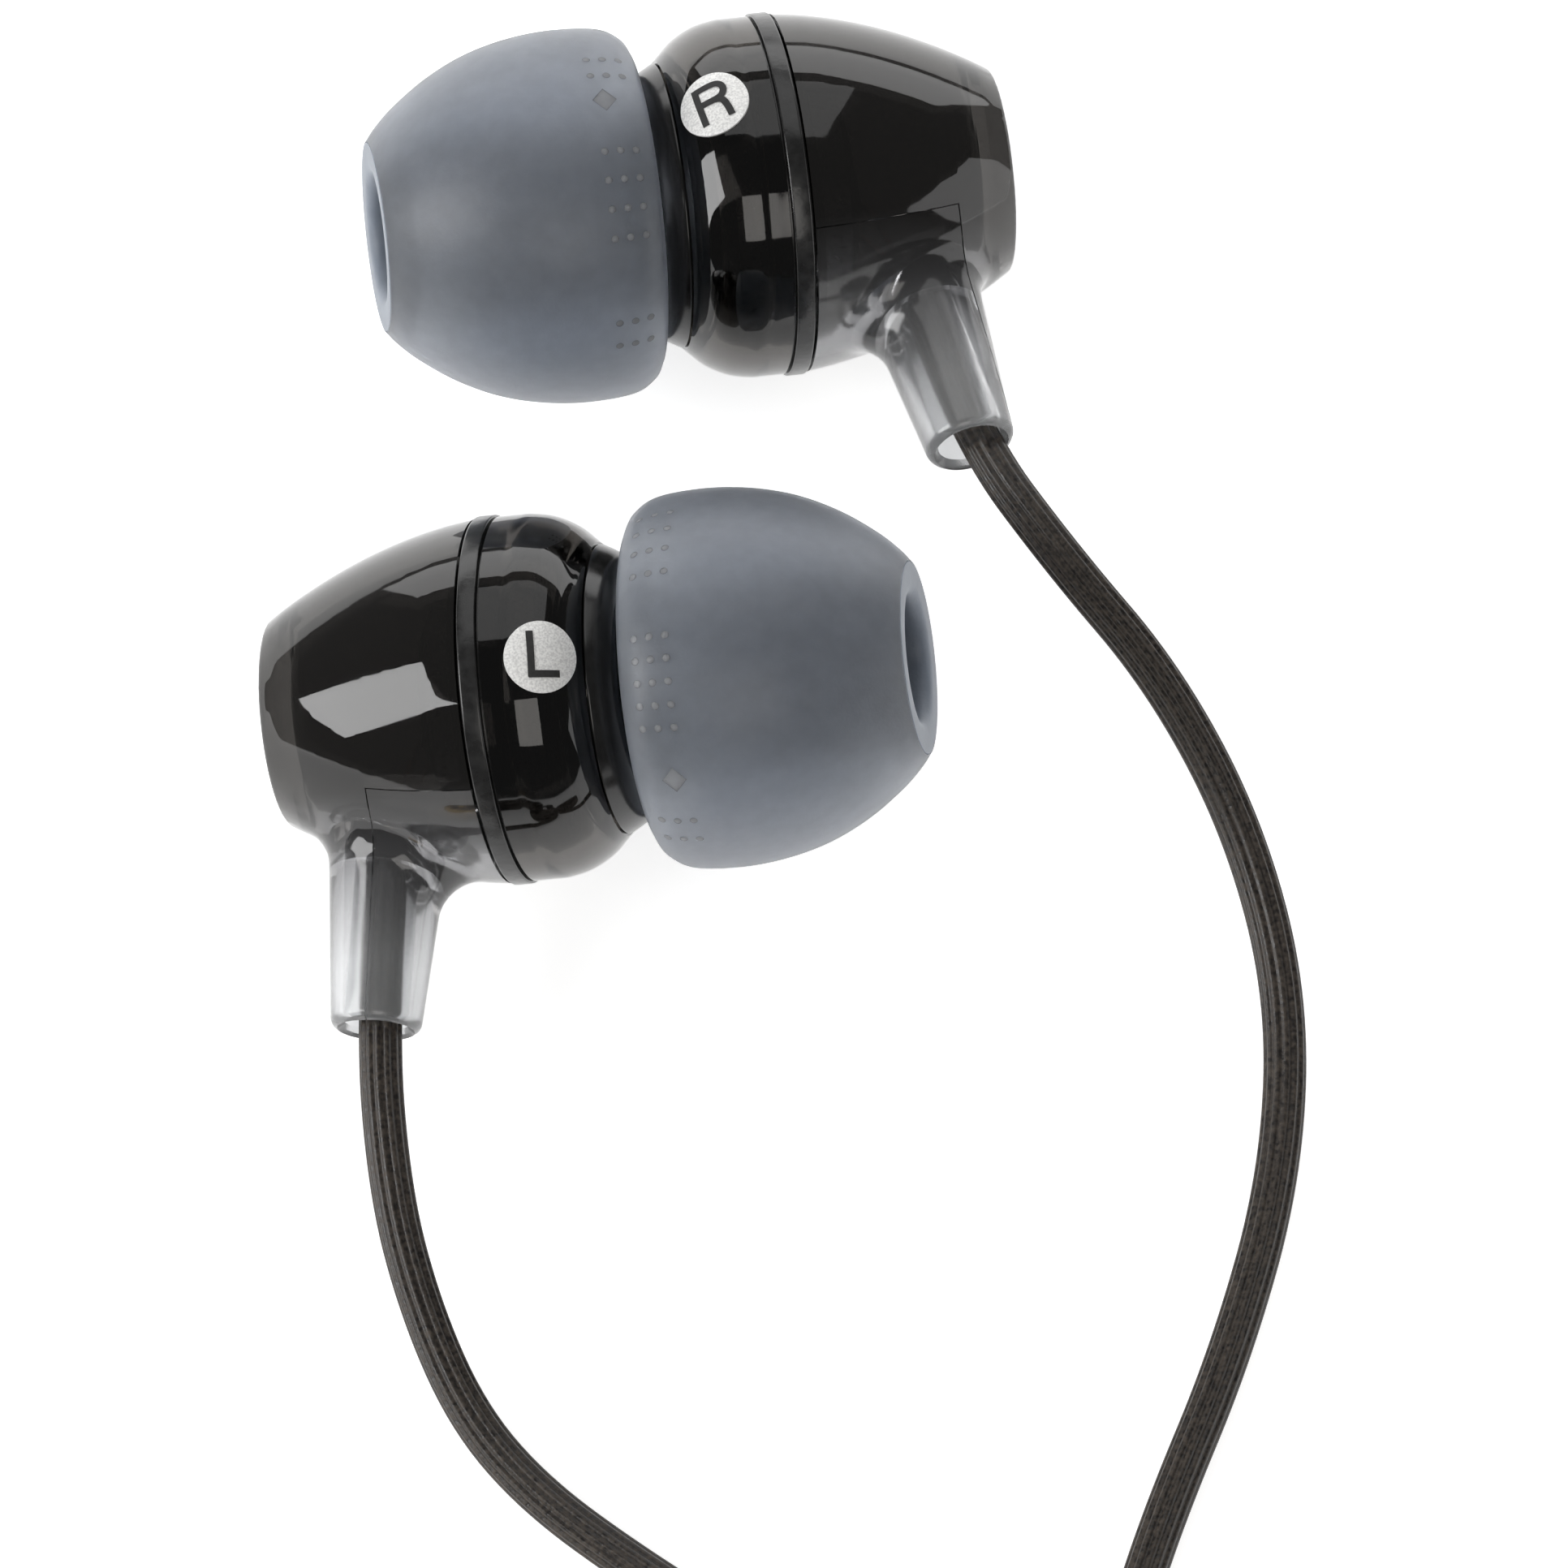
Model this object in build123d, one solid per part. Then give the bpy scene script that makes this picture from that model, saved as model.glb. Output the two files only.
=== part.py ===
from build123d import *
import math
import os

# Wired in-ear earphones, millimetres. +Z is up from the table they lie on, and the origin is the bottom
# centre of the two earpieces' box, cord set aside. Each earpiece is built about its own sound axis:
# local +X runs from the back of the housing to the nose of the ear tip, x = 0 is the middle of the trim
# ring, and the stem hangs towards local -Z.

# ---- driving dimensions: where the earpieces lie ---------------------------------------------------
# middle of the trim ring, and yaw, pitch and roll of the sound axis in degrees
EARPIECES = {
    "left": {"at": (-4.16, -6.53, 5.98), "yaw": 1.3, "pitch": 11.6, "roll": -84.3, "outer_side": -1},
    "right": {"at": (4.43, 11.46, 5.96), "yaw": 189.0, "pitch": 4.5, "roll": 97.9, "outer_side": 1},
}
TIP_SEAT = {"left": 0.15, "right": -0.15}     # how far each soft tip sits off its nominal place
COVER_SPLIT = {"left": 0.0, "right": 1.4}     # how far the stem's parting plane is behind the stem's axis

# ---- driving dimensions: housing -------------------------------------------------------------------
SHELL_R = 5.87            # both shells at the seam
WALL = 0.9
CAVITY_R = SHELL_R - WALL
SEAM_X = 0.40             # each shell starts this far from the ring's middle
RING_R = 5.94
RING_HALF_WIDTH = 0.31
RING_STEP_R = 5.68        # floor of the two fine grooves beside the ring
RING_BORE_R = 5.02
REAR_END_X = -7.4
REAR_END_R = 3.33
FRONT_END_X = 3.5
FRONT_END_R = 4.72
SPIGOT_R = 3.9

# ---- driving dimensions: stem ----------------------------------------------------------------------
STEM_X = -3.55            # where the stem's axis crosses the sound axis
STEM_LEAN = 6.0           # degrees backward from square to the sound axis
STEM_LENGTH = 10.65       # from the sound axis to the open end
STEM_END_R = 1.45
STEM_TAPER = 0.08         # radius gained per millimetre towards the housing
STEM_ROUND = 0.36
STEM_BORE_R = 1.05
SADDLE_FILLET = 1.5
KNOT_POCKET_R = 1.4
KNOT_POCKET_END = 5.3
COVER_HALF_ANGLE = 44.0   # the saddle cover's reach each way round the housing, in degrees
PARTING_GAP = 0.04

# ---- driving dimensions: nozzle and soft tip -------------------------------------------------------
NOZZLE_R = 2.3
NOZZLE_BORE_R = 1.7
NOZZLE_LIP_R = 2.58
NOZZLE_END_X = 8.4
TIP_RIM_X = 4.55
TIP_NOSE_X = 13.3
TIP_R = 6.08
TIP_WALL = 0.45
CORE_R = 3.1
CORE_BORE_R = 2.7
MOUTH_R = 1.98

# ---- driving dimensions: channel disc --------------------------------------------------------------
DISC_R = 1.17
DISC_X = 2.35             # the disc's middle, on the front shell's shoulder
DISC_SEAT_R = 5.62        # the shoulder's radius there
DISC_TILT = 24.0          # degrees that its normal leans towards the nose
DISC_TURN = {"left": 5.4, "right": 0.0}       # degrees that it sits round towards the stem
DISC_THICKNESS = 0.06

# ---- driving dimensions: cord set ------------------------------------------------------------------
CORD_R = 0.7              # branch cords
MAIN_R = 0.9              # main cord
FLOOR_GAP = 0.05          # the cords' skin above the table
CORD_START = 5.0          # distance down the stem where the cord leaves its knot
COIL_RADIUS = 7.0         # branch coil, to the middle of its turns
COIL_Y = -46.1
MAIN_COIL_RADIUS = 10.35
MAIN_COIL_AT = (-5.35, -76.1)
COIL_ENTRY = {"left": 45.0, "right": 160.0, "main": -80.0}     # degrees round each coil from +X
PAIR_X = 11.5             # the two branches run side by side along this line
PAIR_HALF_GAP = 0.95
PAIR_Z = 2.1
SPLITTER_TOP_Y = -67.5
SPLITTER_LENGTH = 7.5
SLIDER_LENGTH = 5.0
SLIDER_REST_Y = -64.6
PLUG_Z = 2.9
PLUG_RELIEF_Y = -67.1

COIL_X = {side: PAIR_X + sign * (PAIR_HALF_GAP + COIL_RADIUS + 2 * CORD_R)
          for side, sign in (("left", -1), ("right", 1))}

# Hand-chosen points of each free cord, from its knot to the coil that it joins.
CORD_Z = CORD_R + FLOOR_GAP
ROUTES = {
    "left": [(-8.26, -16.8, 4.05), (-7.8, -22.2, 2.9), (-6.8, -25.8, 1.8), (-5.3, -29.1, 1.0),
             (-3.2, -31.6, CORD_Z), (-0.1, -34.0, CORD_Z), (4.0, -36.7, CORD_Z)],
    "right": [(10.6, 2.5, 6.96), (13.7, -1.9, 6.5), (16.9, -5.2, 4.8), (19.5, -9.5, 2.6),
              (20.9, -14.9, 1.3), (20.6, -20.9, 0.8), (18.9, -27.0, CORD_Z), (16.7, -32.4, CORD_Z),
              (15.4, -36.5, CORD_Z), (14.25, -39.9, CORD_Z)],
}
MAIN_Z = MAIN_R + FLOOR_GAP
MAIN_LEAD = [(11.5, -75.0, 2.1), (11.5, -78.35, 1.9), (10.4, -81.55, 1.65), (8.25, -84.25, 1.4),
             (5.0, -86.3, 1.15), (0.7, -87.4, 1.0)]

os.makedirs("parts", exist_ok=True)
nodes = {}


# ---- helpers ---------------------------------------------------------------------------------------
def place(side):
    """The location that takes an earpiece's local frame to where it lies on the table."""
    pose = EARPIECES[side]
    return (Pos(*pose["at"]) * Rot(Z=pose["yaw"]) * Rot(Y=-pose["pitch"]) * Rot(X=pose["roll"]))


def turned(*lines):
    """A solid of revolution about local X from the lines round half its section."""
    edges = [edge for line in lines for edge in line.edges()]
    return revolve(make_face(Wire(edges)), Axis.X)


def turned_outline(*points):
    """A solid of revolution about local X from straight-sided half sections."""
    return revolve(make_face(Polyline(*points, close=True)), Axis.X)


def disc_stack(x0, x1, radius, bore=0.0):
    """A disc or washer between two stations of the sound axis."""
    return turned_outline((x0, bore), (x1, bore), (x1, radius), (x0, radius))


def stem_direction():
    lean = math.radians(STEM_LEAN)
    return Vector(-math.sin(lean), 0, -math.cos(lean))


def stem_plane(distance, behind=0.0):
    """A plane square to the stem: its Z runs down the stem and its X towards the nose."""
    forward = Vector(math.cos(math.radians(STEM_LEAN)), 0, -math.sin(math.radians(STEM_LEAN)))
    origin = Vector(STEM_X, 0, 0) + stem_direction() * distance - forward * behind
    return Plane(origin=origin, x_dir=forward, z_dir=stem_direction())


def stem_radius(distance):
    return STEM_END_R + STEM_TAPER * (STEM_LENGTH - distance)


# ---- housing ---------------------------------------------------------------------------------------
def rear_body():
    """Outside of the rear shell and stem as one solid, blended by the saddle fillet."""
    taper = Spline((-SEAM_X, SHELL_R), (-3.4, 5.23), (-6.0, 4.13), (REAR_END_X, REAR_END_R))
    end = Line(taper @ 1, (REAR_END_X, 0))
    axis = Line(end @ 1, (-SEAM_X, 0))
    front = Line(axis @ 1, taper @ 0)
    shell = turned(taper, end, axis, front)
    root = 2.0
    cone = stem_plane(root).location * Cone(
        stem_radius(root), STEM_END_R, STEM_LENGTH - root, align=(Align.CENTER, Align.CENTER, Align.MIN))
    cone = fillet(cone.edges().sort_by(Axis.Z)[0], STEM_ROUND)
    body = shell + cone
    body = fillet(new_edges(shell, cone, combined=body), SADDLE_FILLET)
    rim = body.edges().filter_by(GeomType.CIRCLE).sort_by(Axis.X)[0]
    return fillet(rim, 0.25)


def rear_cavity():
    """Inside of the rear shell, the knot's pocket and the stem's bore."""
    wall = ThreePointArc((-SEAM_X, CAVITY_R), (-3.3, 4.35), (-6.1, 3.1))
    back = Line(wall @ 1, (-6.5, 2.5))
    floor = Line(back @ 1, (-6.5, 0))
    axis = Line(floor @ 1, (0.2, 0))
    mouth = Line(axis @ 1, (0.2, CAVITY_R))
    front = Line(mouth @ 1, wall @ 0)
    hollow = turned(wall, back, floor, axis, mouth, front)
    up = (Align.CENTER, Align.CENTER, Align.MIN)
    pocket = stem_plane(2.0).location * Cylinder(KNOT_POCKET_R, KNOT_POCKET_END - 2.0, align=up)
    bore = stem_plane(3.0).location * Cylinder(STEM_BORE_R, STEM_LENGTH, align=up)
    flare = stem_plane(STEM_LENGTH - 0.3).location * Cone(STEM_BORE_R, STEM_BORE_R + 0.22, 0.32, align=up)
    return hollow + pocket + bore + flare


def cover_region(side, grow):
    """The space that the saddle cover takes from the rear body: in front of the stem's parting plane,
    and within an angle about the stem round the housing."""
    half = math.radians(COVER_HALF_ANGLE) + grow / SHELL_R
    reach = 14.0
    wedge = make_face(Polyline((0, 0), (reach * math.tan(half), -reach), (-reach * math.tan(half), -reach),
                               close=True))
    prism = extrude(Plane.YZ.offset(-12.0) * wedge, 12.0 - SEAM_X)
    front = stem_plane(0, COVER_SPLIT[side] + grow).location * Box(
        30, 30, 40, align=(Align.MIN, Align.CENTER, Align.CENTER))
    return prism & front


def rear_parts(side, body, cavity):
    shell = body - cavity
    nodes[f"{side}_rear_housing"] = shell - cover_region(side, PARTING_GAP)
    nodes[f"{side}_stem_cover"] = shell & cover_region(side, 0.0)


def front_outline(offset=0.0):
    """The front shell's outer line, from the seam to the nozzle's shoulder."""
    land = Line((SEAM_X, SHELL_R + offset), (1.5, SHELL_R - 0.01 + offset))
    shoulder = ThreePointArc(land @ 1, (2.79 + 0.5 * offset, 5.38 + 0.85 * offset),
                             (FRONT_END_X + 0.7 * offset, FRONT_END_R + 0.7 * offset))
    return land, shoulder


def front_housing():
    land, shoulder = front_outline()
    face = Line(shoulder @ 1, (FRONT_END_X, SPIGOT_R + 0.03))
    throat = Line(face @ 1, (2.75, SPIGOT_R + 0.03))
    inner = ThreePointArc(throat @ 1, (2.2, 4.65), (1.5, CAVITY_R))
    wall = Line(inner @ 1, (SEAM_X, CAVITY_R))
    seam = Line(wall @ 1, land @ 0)
    return turned(land, shoulder, face, throat, inner, wall, seam)


def trim_ring():
    half, step = RING_HALF_WIDTH, SEAM_X - 0.01
    ring = turned_outline((-step, RING_BORE_R), (step, RING_BORE_R), (step, RING_STEP_R),
                          (half, RING_STEP_R), (half, RING_R), (-half, RING_R), (-half, RING_STEP_R),
                          (-step, RING_STEP_R))
    rims = ring.edges().filter_by(GeomType.CIRCLE).filter_by(lambda e: e.radius > RING_R - 0.01)
    return fillet(rims, 0.06)


def channel_disc(side):
    """A thin disc that follows the front shell's shoulder, on the side away from the wearer's face."""
    gap, depth = 0.01, 3.0
    outer_side = EARPIECES[side]["outer_side"]
    outer = front_outline(gap + DISC_THICKNESS)
    inner = front_outline(gap)
    skin = turned(*outer, Line(outer[1] @ 1, inner[1] @ 1), *inner, Line(inner[0] @ 0, outer[0] @ 0))
    tilt = math.radians(DISC_TILT)
    normal = Vector(math.sin(tilt), outer_side * math.cos(tilt), 0)
    middle = Vector(DISC_X, outer_side * DISC_SEAT_R, 0)
    punch = Plane(origin=middle - normal * depth, z_dir=normal).location * Cylinder(
        DISC_R, 2 * depth, align=(Align.CENTER, Align.CENTER, Align.MIN))
    return Rot(X=DISC_TURN[side]) * (skin & punch)


# ---- nozzle and soft tip ---------------------------------------------------------------------------
def nozzle():
    """Spigot, rounded shoulder, base collar and tube with its retaining lip, with the bore through."""
    back = 2.3
    shoulder_x = FRONT_END_X + 0.02
    start = Polyline((back, NOZZLE_BORE_R), (back, SPIGOT_R), (shoulder_x, SPIGOT_R),
                     (shoulder_x, FRONT_END_R - 0.03))
    shoulder = ThreePointArc(start @ 1, (3.86, 4.42), (4.3, 4.22))
    tube = Polyline(shoulder @ 1, (4.42, 4.1), (4.42, NOZZLE_R), (7.3, NOZZLE_R), (7.5, NOZZLE_LIP_R),
                    (7.9, NOZZLE_LIP_R), (NOZZLE_END_X, 2.25), (NOZZLE_END_X, NOZZLE_BORE_R),
                    (back, NOZZLE_BORE_R))
    return turned(start, shoulder, tube)


def nozzle_mesh():
    return disc_stack(NOZZLE_END_X - 0.25, NOZZLE_END_X - 0.13, NOZZLE_BORE_R - 0.01)


def ear_tip():
    """The silicone dome: it meets the core near the nose and its skirt curls in at the open rim."""
    outer = Spline((TIP_NOSE_X, CORE_R), (12.75, 3.75), (11.68, 4.62), (10.0, 5.53), (8.6, 5.92),
                   (7.0, TIP_R), (5.45, 5.97), (4.75, 5.6), (TIP_RIM_X, 5.22),
                   tangents=((-0.6, 1), (-0.25, -1)))
    inner = Spline((TIP_RIM_X + 0.3, 5.0), (5.6, 5.5), (7.0, TIP_R - TIP_WALL), (8.9, 5.4), (10.6, 4.6),
                   (12.2, CORE_R), tangents=((0.6, 1), (0.75, -1)))
    rim = ThreePointArc(outer @ 1, (TIP_RIM_X + 0.06, 4.99), inner @ 0)
    bond = Line(inner @ 1, outer @ 0)
    return turned(outer, rim, inner, bond)


def ear_tip_core():
    """The tip's inner sleeve, which grips the nozzle behind its lip."""
    back, step = 4.75, NOZZLE_END_X + 0.5
    sleeve = turned_outline((back, CORE_BORE_R), (step, CORE_BORE_R), (step + 0.4, MOUTH_R),
                            (TIP_NOSE_X, MOUTH_R), (TIP_NOSE_X, CORE_R), (back, CORE_R))
    mouth = sleeve.edges().filter_by(GeomType.CIRCLE).sort_by(Axis.X)[-2:].sort_by(SortBy.RADIUS)[0]
    return fillet(mouth, 0.3)


# ---- driver ----------------------------------------------------------------------------------------
def driver_frame():
    """Basket: a web round the iron cup, and a rim that the diaphragm and the front plate sit on."""
    return turned_outline((-0.55, 3.22), (-0.1, 3.22), (-0.1, 4.3), (0.66, 4.3), (0.66, 4.75),
                          (-0.55, 4.75))


def yoke():
    return turned_outline((-1.9, 0), (-1.4, 0), (-1.4, 2.72), (0.05, 2.72), (0.05, 3.2), (-1.9, 3.2))


def film_line(shift):
    """Half section of the film's skin: a centre dome and a half-roll surround."""
    dome = TangentArc((1.25 + shift, 0), (0.75 + shift, 2.3), tangent=(0, 1))
    roll = ThreePointArc(dome @ 1, (1.2 + shift, 3.2), (0.9 + shift, 4.0))
    return dome, roll


def diaphragm():
    """Thin film with its flat rim, which stands clear of its seat by the film's travel."""
    film, rim_r = 0.06, 4.6
    dome, roll = film_line(0.0)
    under_dome, under_roll = film_line(-film)
    rim = Polyline(roll @ 1, (0.9, rim_r), (0.9 - film, rim_r), under_roll @ 1)
    axis = Line(under_dome @ 0, dome @ 0)
    return turned(dome, roll, rim, under_roll, under_dome, axis)


def driver_front_plate():
    plate = disc_stack(1.7, 1.9, 4.7)
    punch = Plane.YZ.offset(1.5).location
    for count, pitch, radius in ((1, 0.0, 0.6), (6, 2.4, 0.42)):
        for turn in range(count):
            angle = math.radians(360.0 * turn / count)
            hole = Pos(pitch * math.cos(angle), pitch * math.sin(angle), 0) * Cylinder(
                radius, 0.6, align=(Align.CENTER, Align.CENTER, Align.MIN))
            plate -= punch * hole
    flange = disc_stack(1.06, 1.75, 4.7, bore=4.3)
    return plate + flange


def terminal_board():
    board = disc_stack(-2.2, -1.95, 2.6)
    pads = [Pos(-2.3, y, -1.1) * Box(0.2, 0.9, 1.2) for y in (-0.9, 0.9)]
    return board + pads[0] + pads[1]


def cord_knot():
    barrel = stem_plane(2.95).location * Cylinder(
        1.3, CORD_START - 2.95, align=(Align.CENTER, Align.CENTER, Align.MIN))
    return fillet(barrel.edges().filter_by(GeomType.CIRCLE), 0.5)


def driver_wires():
    """The two enamelled wires from the knot to the board's pads."""
    radius = 0.11
    wires = []
    for y in (-0.9, 0.9):
        path = Spline((-3.2, 0.4 * y, -2.75), (-2.9, 0.9 * y, -2.1), (-2.42 - radius, y, -1.4))
        start = Plane(origin=path @ 0, z_dir=path % 0)
        wires.append(sweep(start * Circle(radius), path=path))
    return Compound(wires)


def earpiece(side, body, cavity):
    rear_parts(side, body, cavity)
    seat = Pos(TIP_SEAT[side], 0, 0)
    parts = {
        "front_housing": front_housing(),
        "trim_ring": trim_ring(),
        "channel_disc": channel_disc(side),
        "nozzle": nozzle(),
        "nozzle_mesh": nozzle_mesh(),
        "ear_tip": seat * ear_tip(),
        "ear_tip_core": seat * ear_tip_core(),
        "driver_frame": driver_frame(),
        "yoke": yoke(),
        "magnet": disc_stack(-1.39, -0.4, 1.95),
        "top_plate": disc_stack(-0.39, 0.05, 2.1),
        "voice_coil": disc_stack(-0.9, 0.68, 2.45, bore=2.28),
        "diaphragm": diaphragm(),
        "driver_front_plate": driver_front_plate(),
        "terminal_board": terminal_board(),
        "damping_felt": disc_stack(-0.8, -0.56, 4.6, bore=3.3),
        "cord_knot": cord_knot(),
        "driver_wires": driver_wires(),
    }
    nodes.update({f"{side}_{name}": solid for name, solid in parts.items()})
    for name in [n for n in nodes if n.startswith(f"{side}_")]:
        nodes[name] = place(side) * nodes[name]


# ---- cords -----------------------------------------------------------------------------------------
def cord_tube(name, points, radius):
    """A round cord along straight runs joined by the largest tangent arcs that the runs allow."""
    points = [Vector(*p) for p in points]
    radii = []
    for before, corner, after in zip(points, points[1:], points[2:]):
        turn = math.radians((corner - before).get_angle(after - corner))
        shorter = min((corner - before).length, (after - corner).length)
        radii.append(0.45 * shorter / math.tan(turn / 2))
    path = FilletPolyline(*points, radius=radii) if radii else Line(*points)
    start = Plane(origin=path @ 0, z_dir=path % 0)
    tube = sweep(start * Circle(radius), path=path)
    expected = math.pi * radius ** 2 * path.length
    print(f"{name}: length {path.length:.1f}, radii {[round(r, 1) for r in radii]}, "
          f"volume over section x length {tube.volume / expected:.4f}")
    nodes[name] = tube
    return path.length


def on_circle(centre, radius, angle, z):
    return (centre[0] + radius * math.cos(math.radians(angle)),
            centre[1] + radius * math.sin(math.radians(angle)), z)


def coil(name, centre, mean_radius, cord_radius, turns_across, layers):
    """The outer shape of a neat round coil: a flat-bottomed ring that its turns fill."""
    width = 2 * cord_radius * turns_across
    height = 2 * cord_radius * layers
    ring = Pos(centre[0], centre[1], FLOOR_GAP) * (
        Cylinder(mean_radius + width / 2, height, align=(Align.CENTER, Align.CENTER, Align.MIN))
        - Cylinder(mean_radius - width / 2, height, align=(Align.CENTER, Align.CENTER, Align.MIN)))
    nodes[name] = fillet(ring.edges().filter_by(GeomType.CIRCLE), 0.6 * cord_radius)


def branch_cord(side):
    """One branch: from its knot to its coil, the coil, and the straight run to the splitter."""
    pose = place(side)
    start = pose * Pos(*(Vector(STEM_X, 0, 0) + stem_direction() * CORD_START))
    centre = (COIL_X[side], COIL_Y)
    outer_turn = COIL_RADIUS + 2 * CORD_R
    entry = on_circle(centre, outer_turn, COIL_ENTRY[side], CORD_Z)
    free = cord_tube(f"{side}_cord", [tuple(start.position)] + ROUTES[side] + [entry], CORD_R)
    coil(f"{side}_cord_coil", centre, COIL_RADIUS, CORD_R, 3, 2)
    x = PAIR_X + (PAIR_HALF_GAP if side == "right" else -PAIR_HALF_GAP)
    lead = cord_tube(f"{side}_cord_lead", [(x, COIL_Y, PAIR_Z), (x, SPLITTER_TOP_Y, PAIR_Z)], CORD_R)
    turns = 6 + min(COIL_ENTRY[side], 180 - COIL_ENTRY[side]) / 360
    print(f"{side} branch: starts at {[round(v, 2) for v in start.position]}, whole length "
          f"{free + lead + 2 * math.pi * COIL_RADIUS * turns:.0f}")


def cord_slider():
    """A rounded block that grips neither cord: two bores with running clearance."""
    bar = Pos(PAIR_X, SLIDER_REST_Y, PAIR_Z) * Box(5.4, SLIDER_LENGTH, 3.8)
    bar = fillet(bar.edges().filter_by(Axis.Y), 1.3)
    bar = fillet(bar.faces().sort_by(Axis.Y)[0].edges() + bar.faces().sort_by(Axis.Y)[-1].edges(), 0.4)
    for sign in (-1, 1):
        bore = Pos(PAIR_X + sign * PAIR_HALF_GAP, SLIDER_REST_Y, PAIR_Z) * Rot(X=90) * Cylinder(
            CORD_R + 0.08, SLIDER_LENGTH + 1)
        bar -= bore
    nodes["cord_slider"] = bar


def y_splitter():
    """A flat tapered block: two cords in at the top, the main cord out at the bottom."""
    top = Plane(origin=(PAIR_X, SPLITTER_TOP_Y, PAIR_Z), x_dir=(1, 0, 0), z_dir=(0, -1, 0))
    bottom = top.offset(SPLITTER_LENGTH)
    block = loft([top * RectangleRounded(5.2, 3.6, 1.5), bottom * RectangleRounded(3.4, 3.2, 1.45)])
    block = fillet(block.faces().sort_by(Axis.Y)[0].edges() + block.faces().sort_by(Axis.Y)[-1].edges(), 0.35)
    nodes["y_splitter"] = block


def main_cord():
    centre = MAIN_COIL_AT
    outer_turn = MAIN_COIL_RADIUS + 2 * MAIN_R
    entry = on_circle(centre, outer_turn, COIL_ENTRY["main"], MAIN_Z)
    lead = cord_tube("main_cord_lead", MAIN_LEAD + [entry], MAIN_R)
    coil("main_cord_coil", centre, MAIN_COIL_RADIUS, MAIN_R, 3, 4)
    x = centre[0] - outer_turn
    top_z = FLOOR_GAP + 7 * MAIN_R
    end = cord_tube("main_cord_end", [(x, centre[1], top_z), (x, -73.1, 5.6), (x, -70.1, 3.6),
                                      (x, PLUG_RELIEF_Y, PLUG_Z)], MAIN_R)
    turns = 11 + (180 + COIL_ENTRY["main"]) / 360
    print(f"main cord: whole length {lead + end + 2 * math.pi * MAIN_COIL_RADIUS * turns:.0f}")


# ---- plug ------------------------------------------------------------------------------------------
def plug():
    """A 3.5 mm three-pole plug, its pin pointing along +Y, beside the main coil."""
    x = MAIN_COIL_AT[0] - MAIN_COIL_RADIUS - 2 * MAIN_R
    base = Pos(x, PLUG_RELIEF_Y, PLUG_Z) * Rot(Z=90)
    pin_r, waist_r = 1.75, 1.4

    def lathe(*points):
        return base * turned_outline(*points)

    relief, body = 5.5, 10.5
    pin = relief + body
    nodes["plug_strain_relief"] = lathe((0, 0), (0, 1.35), (relief, 1.95), (relief, 0))
    barrel = turned_outline((relief, 0), (relief, 2.6), (pin, 2.6), (pin, 0))
    nodes["plug_body"] = base * fillet(barrel.edges().filter_by(GeomType.CIRCLE), 0.35)
    stations = {"plug_sleeve": (0.0, 5.2), "plug_ring": (5.9, 8.1)}
    for name, (start, stop) in stations.items():
        nodes[name] = lathe((pin + start, 0), (pin + start, pin_r), (pin + stop, pin_r), (pin + stop, 0))
    insulators = [lathe((pin + start, 0), (pin + start, pin_r), (pin + start + 0.7, pin_r),
                        (pin + start + 0.7, 0)) for start in (5.2, 8.1)]
    nodes["plug_insulators"] = Compound(insulators)
    nodes["plug_tip"] = lathe((pin + 8.8, 0), (pin + 8.8, pin_r), (pin + 10.6, pin_r), (pin + 11.5, waist_r),
                              (pin + 12.2, 1.62), (pin + 14.0, 0.55), (pin + 14.0, 0))


def main():
    body, cavity = rear_body(), rear_cavity()
    for side in EARPIECES:
        earpiece(side, body, cavity)
    branch_cord("left")
    branch_cord("right")
    cord_slider()
    y_splitter()
    main_cord()
    plug()
    own = Compound([nodes[n] for n in nodes if n.startswith(("left", "right")) and "cord" not in n])
    box = own.bounding_box()
    print("earpieces' box", [round(v, 2) for v in box.min], [round(v, 2) for v in box.max])
    for name, solid in nodes.items():
        export_step(solid, f"parts/{name}.step")


main()
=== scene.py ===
"""Looks for the wired in-ear earphones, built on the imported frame.

Everything is in the frame's own axes. Local sizes of an earpiece are in millimetres about its sound axis,
as they are in the CAD: local +X runs from the back of the housing to the nose of the ear tip, and x = 0 is
the middle of the trim ring. MM turns them into metres.
"""
import math

import bmesh
import bpy
import numpy as np
from mathutils import Matrix, Vector


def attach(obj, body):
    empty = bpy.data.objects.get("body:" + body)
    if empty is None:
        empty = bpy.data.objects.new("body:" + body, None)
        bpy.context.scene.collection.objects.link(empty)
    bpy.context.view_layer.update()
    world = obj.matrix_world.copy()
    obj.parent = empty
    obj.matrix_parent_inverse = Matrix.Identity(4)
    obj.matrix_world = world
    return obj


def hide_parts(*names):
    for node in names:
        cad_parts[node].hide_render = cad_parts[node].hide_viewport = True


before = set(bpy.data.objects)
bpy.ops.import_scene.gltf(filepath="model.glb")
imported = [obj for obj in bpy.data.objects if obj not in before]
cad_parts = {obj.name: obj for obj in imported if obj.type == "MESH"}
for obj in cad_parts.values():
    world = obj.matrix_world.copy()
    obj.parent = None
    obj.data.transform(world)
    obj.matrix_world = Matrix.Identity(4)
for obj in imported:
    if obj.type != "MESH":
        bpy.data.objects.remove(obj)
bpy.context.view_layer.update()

MM = 0.001
ROOT = "earphones"
SIDES = ("left", "right")
JOIN_DISTANCE = 2e-6
CAD_SHARP_ANGLE = math.radians(32)

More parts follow.
